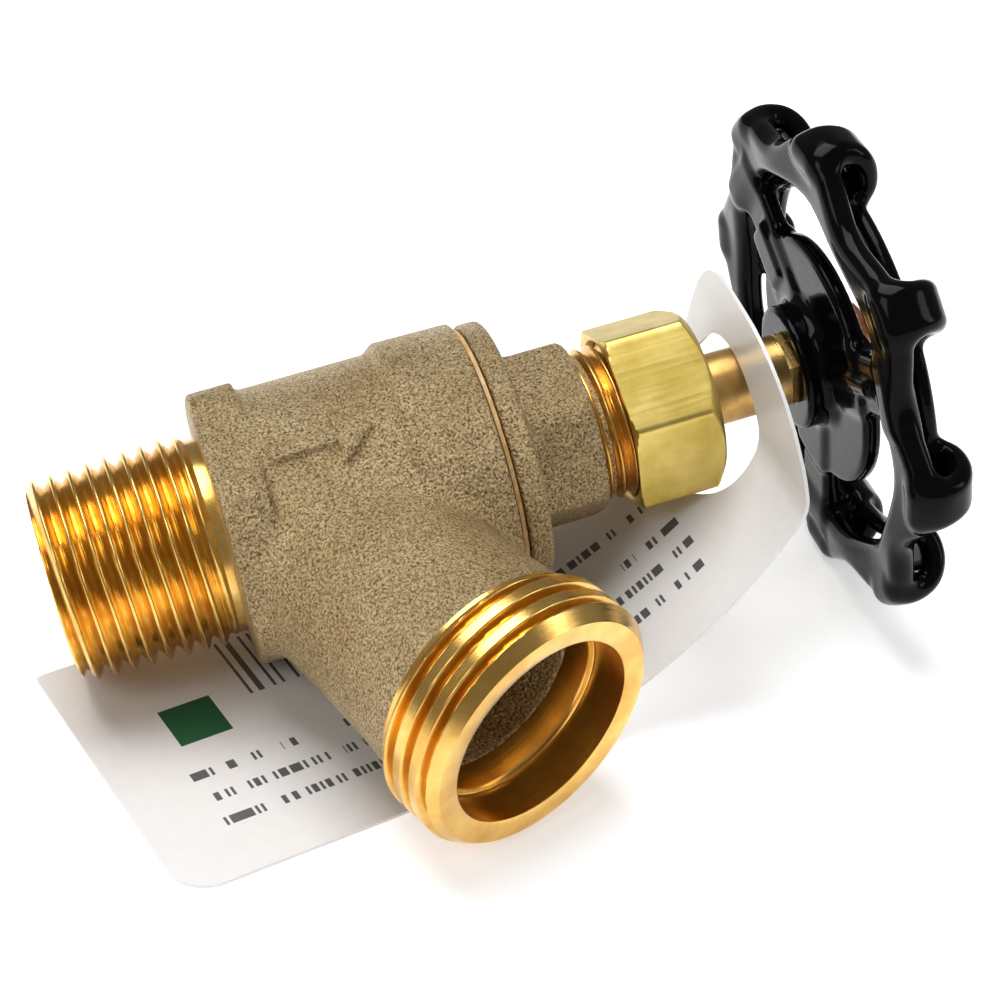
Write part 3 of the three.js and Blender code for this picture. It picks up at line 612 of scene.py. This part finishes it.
def bonnet_casting():
    sides = 288
    th = angles(sides)
    hexa = hex_radius(th, BONNET_FLATS, BONNET_ANGLE, 60)
    rows = [(36.6, 8.7), (36.6, 11.0), (36.8, 11.2), (45.1, 11.2), (45.1, 12.9)]
    rows += [(45.1 + 0.5 * (1 - math.cos(a)), 12.9 + 0.5 * math.sin(a)) for a in np.linspace(0.2, math.pi / 2, 5)]
    rows += [(46.9, 13.38)]
    rows += [(46.9 + 0.6 * math.sin(a), 12.8 + 0.58 * math.cos(a)) for a in np.linspace(0.25, math.pi / 2, 6)]
    for x in np.linspace(47.52, 48.7, 8):
        t = (48.7 - x) / 1.18
        rows.append((x, hexa + 1.5 * t ** 3))
    for x in np.linspace(49.2, 54.8, 18):
        lead = 9.49 - 0.9 * max(x - 54.0, 0) ** 1.2
        rows.append((x, smin(hexa, np.full(sides, lead), 0.3)))
    rows += [(54.8, 8.2), (54.8, 7.4), (56, 7.4), (56, 5.95), (54.7, 5.95),
             (54.7, 3.9), (54, 3.9), (54, 5.1), (42.9, 5.1), (42.9, 8.7)]
    points, faces = sweep(rows, True, sides)
    obj = mesh_object("bonnet_casting", points, faces, CAST)
    outward(obj)
    smooth_by_angle(obj, 40)
    give(obj, "valve", "bonnet")


def bonnet_thread():
    sides = 180
    th = angles(sides)
    rows = []
    for x in np.arange(54.6, 59.5, 0.07):
        r = helix(x, th, 54.2, INCH / 18, 7.92, 0.72, 0.12)
        fade = np.clip((55.6 - x) / 0.6, 0, 1)
        r = r * (1 - fade) + 7.3 * fade
        rows.append((x, np.minimum(r, 7.2 + 1.2 * (59.5 - x) + 0.05)))
    rows += [(59.5, 7.1), (59.5, 5.95), (56.5, 5.95), (54.75, 5.95), (54.6, 6.0)]
    points, faces = sweep(rows, True, sides)
    obj = mesh_object("bonnet_thread", points, faces, NECK)
    outward(obj)
    smooth_by_angle(obj, 50)
    give(obj, "valve", "bonnet")


def packing_nut():
    sides = 288
    th = angles(sides)
    hexa = hex_radius(th, NUT_FLATS, NUT_ANGLE, 70)
    rows = [(NUT_START, 8.5), (NUT_START, smin(hexa, np.full(sides, 9.2), 0.12) - 0.08)]
    for x in np.r_[np.linspace(NUT_START, 59, 8), np.linspace(59.3, 65.6, 12), np.linspace(65.8, NUT_END, 12)]:
        start = 9.3 + 3.0 * (x - NUT_START)
        end = 8.45 + 1.35 * (NUT_END - x)
        r = smin(hexa, np.full(sides, start), 0.12)
        rows.append((x, smin(r, np.full(sides, end), 0.15)))
    rows += [(NUT_END, 8.2), (NUT_END, 4.15), (67.1, 3.92), (64, 3.9), (63.8, 3.9), (63.8, 8.09),
             (58.5, 8.09), (58.1, 8.3)]
    points, faces = sweep(rows, True, sides)
    obj = mesh_object("packing_nut_brass", points, faces, NUT)
    outward(obj)
    smooth_by_angle(obj, 28)
    give(obj, "valve", "packing_nut")


# ------------------------------------------------------------------ stem and the wheel's screw
STEM_RADIUS = 3.75
SCREW_SEAT = 83.35


def stem():
    sides = 144
    th = angles(sides)
    square = 2.6 / np.maximum(np.abs(np.cos(th)), np.abs(np.sin(th)))
    rows = [(28, 0), (28, 5.2), (28.3, 5.5), (29.5, 5.5), (29.8, 5.2), (29.8, 4.4), (36.8, 4.4)]
    for x in np.arange(36.9, 46, 0.12):
        r = helix(x, th, 37.3, INCH / 12, 4.93, 0.68, 0.2)
        fade = min(1, (x - 36.8) / 0.5, (46 - x) / 0.5)
        rows.append((x, 4.4 + (r - 4.4) * fade))
    rows += [(46, 4.4), (46.65, STEM_RADIUS), (60, STEM_RADIUS), (70, STEM_RADIUS), (76.35, STEM_RADIUS)]
    rows += [(76.4, np.minimum(square, STEM_RADIUS)), (82.6, np.minimum(square, 3.7)),
             (82.9, np.minimum(square, 3.45) - 0.2), (82.9, 1.9), (82.7, 1.75), (76.6, 1.75), (76.4, 0)]
    points, faces = sweep(rows, False, sides)
    obj = mesh_object("stem_brass", points, faces, STEM)
    outward(obj)
    smooth_by_angle(obj, 35)
    give(obj, "handle_assembly", "stem")


def wheel_screw():
    sides = 96
    rows = [(77.2, 0), (77.2, 1.3), (77.5, 1.55), (SCREW_SEAT, 1.55), (SCREW_SEAT, 5.0), (83.5, 5.2),
            (84.5, 5.2), (84.75, 5.12)]
    rows += [(84.75 + 1.0 * math.sin(a), 3.4 + 1.72 * math.cos(a) ** 0.8) for a in np.linspace(0.2, 1.5, 8)]
    rows += [(85.75, 3.2), (85.75, 0)]
    points, faces = sweep(rows, False, sides)
    obj = mesh_object("wheel_screw_copper", points, faces, COPPER)
    outward(obj)
    box = np.array([[x, y, z] for x in (85.1, 88) for y in (-0.42, 0.42) for z in (-7, 7)])
    sides_of_box = [[0, 1, 3, 2], [4, 6, 7, 5], [0, 4, 5, 1], [2, 3, 7, 6], [0, 2, 6, 4], [1, 5, 7, 3]]
    slot = mesh_object("tool", box, sides_of_box, COPPER)
    outward(slot)
    cut(obj, slot)
    smooth_by_angle(obj, 35)
    give(obj, "handle_assembly", "handwheel_screw")


# ------------------------------------------------------------------ handwheel
LOBES = 8
WHEEL_PHASE = math.radians(-7)
WHEEL_STATION = 81.0
RING_RADIUS = 19.5
PLATE_HALF = 0.95
SPOKES, SPOKE_ANGLE = 3, -3
LOBE_LINE = [(81.0, 24.7), (82.2, 25.3), (83.7, 25.2), (84.9, 24.3), (85.6, 22.8), (85.6, 21.1),
             (84.9, 19.9), (84.1, 19.4)]


def lobe_curve():
    """The lobe's middle line, as close points on a smooth curve through its stations and radii."""
    line = np.array([LOBE_LINE[0]] + LOBE_LINE + [LOBE_LINE[-1]])
    t = np.linspace(0, 1, 6)[:-1, None]
    out = []
    for p0, p1, p2, p3 in zip(line, line[1:], line[2:], line[3:]):
        out.append(0.5 * (2 * p1 + (p2 - p0) * t + (2 * p0 - 5 * p1 + 4 * p2 - p3) * t ** 2
                          + (3 * p1 - p0 - 3 * p2 + p3) * t ** 3))
    return np.vstack(out + [line[-1:]])


def ribbon(px, py, pz, line, half_wide, half_thick):
    """Field of a bar that follows a line in the station-radius plane, with a broad rounded section."""
    off = np.full(px.shape, 1e9)
    for (ax, ay), (bx, by) in zip(line, line[1:]):
        dx, dy = bx - ax, by - ay
        t = np.clip(((px - ax) * dx + (py - ay) * dy) / (dx * dx + dy * dy), 0, 1)
        off = np.minimum(off, (px - ax - t * dx) ** 2 + (py - ay - t * dy) ** 2)
    off = np.sqrt(off)
    side = np.maximum(np.abs(pz) - (half_wide - half_thick), 0)
    return np.hypot(off, side) - half_thick


LOBE_CURVE = lobe_curve()


def wheel_field(p):
    """Rim strip with its lobes and front ring, round a plate with hub, nose and spokes."""
    x, y, z = p[:, 0], p[:, 1], p[:, 2]
    r = np.hypot(y, z)
    theta = np.arctan2(z, y)
    wave = np.cos(LOBES * (theta - WHEEL_PHASE))
    outer = 24.7 + 1.5 * wave
    middle, half = (outer + RING_RADIUS) / 2, (outer - RING_RADIUS) / 2
    crown = WHEEL_STATION + 0.25 * wave
    strip = smax((np.abs(r - middle) - half) * 0.9, np.abs(x - crown) - 1.4, 1.5)
    ring = np.hypot(x - 84.0, r - RING_RADIUS) - 0.95
    local = (theta - WHEEL_PHASE + math.pi / LOBES) % (2 * math.pi / LOBES) - math.pi / LOBES
    radial, tangent = r * np.cos(local), r * np.sin(local)
    bars = ribbon(x, radial, tangent, LOBE_CURVE, 2.6, 1.2)
    web = smax(r - 13.2, np.abs(x - WHEEL_STATION) - PLATE_HALF, 0.7)
    hub = smax(r - 6.5, smax(76.95 - x, x - 82.0, 0.4), 0.5)
    nose = smax(r - 4.8, smax(80 - x, x - 83.2, 0.2), 0.3)
    outside = smin(smin(strip, bars, 1.6), ring, 1.2)
    inside = smin(smin(web, hub, 1.4), nose, 0.4)
    whole = smin(outside, inside, 0.5)
    for i in range(SPOKES):
        a = math.radians(SPOKE_ANGLE + 360 / SPOKES * i)
        along = y * math.cos(a) + z * math.sin(a)
        across = -y * math.sin(a) + z * math.cos(a)
        flat = smax(np.abs(across) - 3.1, np.abs(x - WHEEL_STATION) - PLATE_HALF, 0.9)
        whole = smin(whole, smax(flat, smax(5 - along, along - 21.5, 0.5), 0.4), 1.8)
        # The second spoke has a raised pad and the third a rib, on the side of the valve
        if i == 1:
            pad = smax(smax(np.abs(across) - 2.0, np.abs(along - 12.25) - 3.2, 0.6), np.abs(x - 80.6) - 1.4, 0.5)
            whole = smin(whole, pad, 0.5)
        if i == 2:
            rib = smax(smax(np.abs(across) - 0.8, np.abs(along - 11.5) - 5.4, 0.5), np.abs(x - 80.6) - 1.4, 0.5)
            whole = smin(whole, rib, 0.6)
    hole = np.maximum(np.maximum(np.abs(y), np.abs(z)) - 2.68, 76 - x)
    return smax(whole, -hole, 0.15)


def handwheel():
    obj = surface_net("handwheel_enamel", wheel_field, (76, -28, -28), (89, 28, 28), 0.34, ENAMEL)
    settle(obj, wheel_field, 6, 3)
    outward(obj)
    smooth_by_angle(obj, 60)
    give(obj, "handle_assembly", "handwheel")


# ------------------------------------------------------------------ card tag
TAG_THICK = 0.35
TAG_LENGTH = 91.2
TAG_WIDTH = 34.5
TAG_END = np.array([-41.912831, -11.035683, 0.248764])
TAG_FLAT, TAG_BEND = 27.9, 0.0203
TAG_CURL, TAG_CURL_BEND = 76.4, 0.2
TAG_LIP, TAG_LIP_BEND = 79.4, -0.204
TAG_HEADING, TAG_HEADING_HOLE = math.radians(14.7), math.radians(-2.6)
TAG_CORNER, TAG_FAR_CORNER, TAG_SMALL_CORNER = 4.0, 15, 0.6
HOLE_ALONG, HOLE_SIDE, HOLE_RADIUS = 72.9, 4.0, 10.2
HOLE_POINTS = 96
# The hole is drawn in on the side that hugs the packing nut
HOLE_DRAWN_IN, HOLE_DRAWN_ANGLE, HOLE_DRAWN_SPREAD = 2.8, -138, 34
BACK_OFFSET = 200


def tag_surface(at, side, height):
    """From flat card to the bent tag: it lies flat, bends up evenly, then curls and straightens."""
    steps = np.linspace(0, TAG_LENGTH, 4001)

    def directions(a):
        lift = (TAG_BEND * np.maximum(a - TAG_FLAT, 0) + TAG_CURL_BEND * np.maximum(a - TAG_CURL, 0)
                + TAG_LIP_BEND * np.maximum(a - TAG_LIP, 0))
        t = np.clip((a - TAG_FLAT) / (TAG_LENGTH - TAG_FLAT), 0, 1)
        heading = TAG_HEADING + (TAG_HEADING_HOLE - TAG_HEADING) * t * t * (3 - 2 * t)
        along = np.stack([np.cos(heading) * np.cos(lift), np.sin(heading) * np.cos(lift), np.sin(lift)], -1)
        across = np.stack([-np.sin(heading), np.cos(heading), 0 * heading], -1)
        return along, across, np.cross(along, across)

    middle = (steps[1:] + steps[:-1]) / 2
    line = np.vstack([TAG_END, TAG_END + np.cumsum(directions(middle)[0] * np.diff(steps)[:, None], 0)])
    base = np.stack([np.interp(at, steps, line[:, i]) for i in range(3)], -1)
    _, across, normal = directions(at)
    return (base + across * side[:, None] + normal * height[:, None]) * MM


def half_width(corner, distance):
    """Half the card's width at a distance from an end whose corners have a radius."""
    inward = np.maximum(corner - distance, 0)
    return TAG_WIDTH / 2 - (corner - np.sqrt(np.maximum(corner ** 2 - inward ** 2, 0)))


def hang_tag():
    corner = np.array([0, 0.01, 0.04, 0.09, 0.16, 0.27, 0.4, 0.6, 0.8])
    stations = np.r_[corner * 4, np.arange(4, TAG_CURL, 1.6), np.arange(TAG_CURL, TAG_LIP, 0.25),
                     np.arange(TAG_LIP, 82, 0.8), TAG_LENGTH - corner * 15]
    stations = np.unique(np.round(stations, 4))
    shares = np.linspace(-1, 1, 25)
    points = []
    for height in (-TAG_THICK / 2, TAG_THICK / 2):
        for a in stations:
            for share in shares:
                near = half_width(TAG_CORNER if share < 0 else TAG_SMALL_CORNER, a)
                far = half_width(TAG_FAR_CORNER, TAG_LENGTH - a)
                points.append([a, share * min(near, far), height])
    n, m = len(stations), len(shares)
    bottom, top = np.arange(2 * n * m).reshape(2, n, m).tolist()
    faces = []
    for i in range(n - 1):
        for j in range(m - 1):
            faces.append([top[i][j], top[i + 1][j], top[i + 1][j + 1], top[i][j + 1]])
            faces.append([bottom[i][j], bottom[i][j + 1], bottom[i + 1][j + 1], bottom[i + 1][j]])
    edge = [(i, 0) for i in range(n)] + [(n - 1, j) for j in range(1, m)]
    edge += [(i, m - 1) for i in range(n - 2, -1, -1)] + [(0, j) for j in range(m - 2, 0, -1)]
    for (a, b), (c, d) in zip(edge, edge[1:] + edge[:1]):
        faces.append([bottom[a][b], bottom[c][d], top[c][d], top[a][b]])
    obj = mesh_object("hang_tag_card", np.array(points) * MM, faces, CARD, False)
    outward(obj)
    t = angles(HOLE_POINTS)
    beside = (np.degrees(t) - HOLE_DRAWN_ANGLE + 180) % 360 - 180
    reach = HOLE_RADIUS - HOLE_DRAWN_IN * np.exp(-((beside / HOLE_DRAWN_SPREAD) ** 2))
    rim = np.c_[HOLE_ALONG + reach * np.cos(t), HOLE_SIDE + reach * np.sin(t)]
    punch = np.vstack([np.c_[rim, np.full(HOLE_POINTS, height)] for height in (-3.0, 3.0)]) * MM
    below = list(range(HOLE_POINTS))
    after = below[1:] + below[:1]
    wall = [[i, j, HOLE_POINTS + j, HOLE_POINTS + i] for i, j in zip(below, after)]
    ends = [below[::-1], [HOLE_POINTS + i for i in below]]
    tool = mesh_object("tool", punch, ends + wall, CARD, False)
    outward(tool)
    cut(obj, tool)
    mesh = obj.data
    co = np.empty(len(mesh.vertices) * 3)
    mesh.vertices.foreach_get("co", co)
    flat = co.reshape(-1, 3) / MM
    layer = mesh.uv_layers.new(name="flat")
    for polygon in mesh.polygons:
        # Only the top is printed: the rest reads the pattern far beyond its marks
        offset = 0 if polygon.normal.z > 0.5 else BACK_OFFSET
        for k in polygon.loop_indices:
            along, side, _ = flat[mesh.loops[k].vertex_index]
            layer.data[k].uv = (along + offset, side)
    mesh.vertices.foreach_set("co", tag_surface(flat[:, 0], flat[:, 1], flat[:, 2]).ravel())
    mesh.update()
    smooth_by_angle(obj, 35)
    give(obj, "valve", "hang_tag")


body_casting()
inlet_thread()
outlet_thread()
bonnet_casting()
bonnet_thread()
packing_nut()
stem()
wheel_screw()
handwheel()
hang_tag()

# The CAD's own solids that keep their shape
NODE_MATERIALS = {
    "bonnet_gasket": GASKET, "packing_washer": INNER, "packing_ring_lower": PACKING,
    "packing_ring_upper": PACKING, "packing_gland": INNER, "disc_holder": INNER,
    "disc_lock_nut": INNER, "seat_washer": RUBBER, "seat_washer_screw": INNER,
}
for node, material in NODE_MATERIALS.items():
    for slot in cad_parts[node].material_slots:
        slot.material = material

# ------------------------------------------------------------------ floor and light
ground = Nodes("floor_white")
ground.set(color=(0.93, 0.93, 0.93, 1), rough=0.9, specular=0.1)
ground.shader.inputs["Emission Color"].default_value = (1, 1, 1, 1)
ground.shader.inputs["Emission Strength"].default_value = 0.45
corners = [[-2, -2, 0], [2, -2, 0], [2, 2, 0], [-2, 2, 0]]
floor = mesh_object("floor", corners, [[0, 1, 2, 3]], ground.material, False)


LIT_POINT = Vector((0, 0, 0.02))


def softbox(name, place, width, height, power):
    light = bpy.data.lights.new(name, "AREA")
    light.shape = "RECTANGLE"
    light.size, light.size_y = width, height
    light.energy = power
    obj = bpy.data.objects.new(name, light)
    obj.rotation_euler = (LIT_POINT - Vector(place)).to_track_quat("-Z", "Y").to_euler()
    obj.location = place
    bpy.context.scene.collection.objects.link(obj)


softbox("top", (-0.12, 0.22, 0.85), 0.6, 0.6, 7.4)
softbox("key", (-0.62, -0.3, 0.6), 0.32, 0.42, 1.7)
softbox("side", (0.75, -0.35, 0.42), 0.22, 0.42, 1.0)
world = bpy.data.worlds.new("world")
world.use_nodes = True
background = world.node_tree.nodes["Background"]
background.inputs["Color"].default_value = (0.4, 0.4, 0.41, 1)
background.inputs["Strength"].default_value = 0.6
bpy.context.scene.world = world
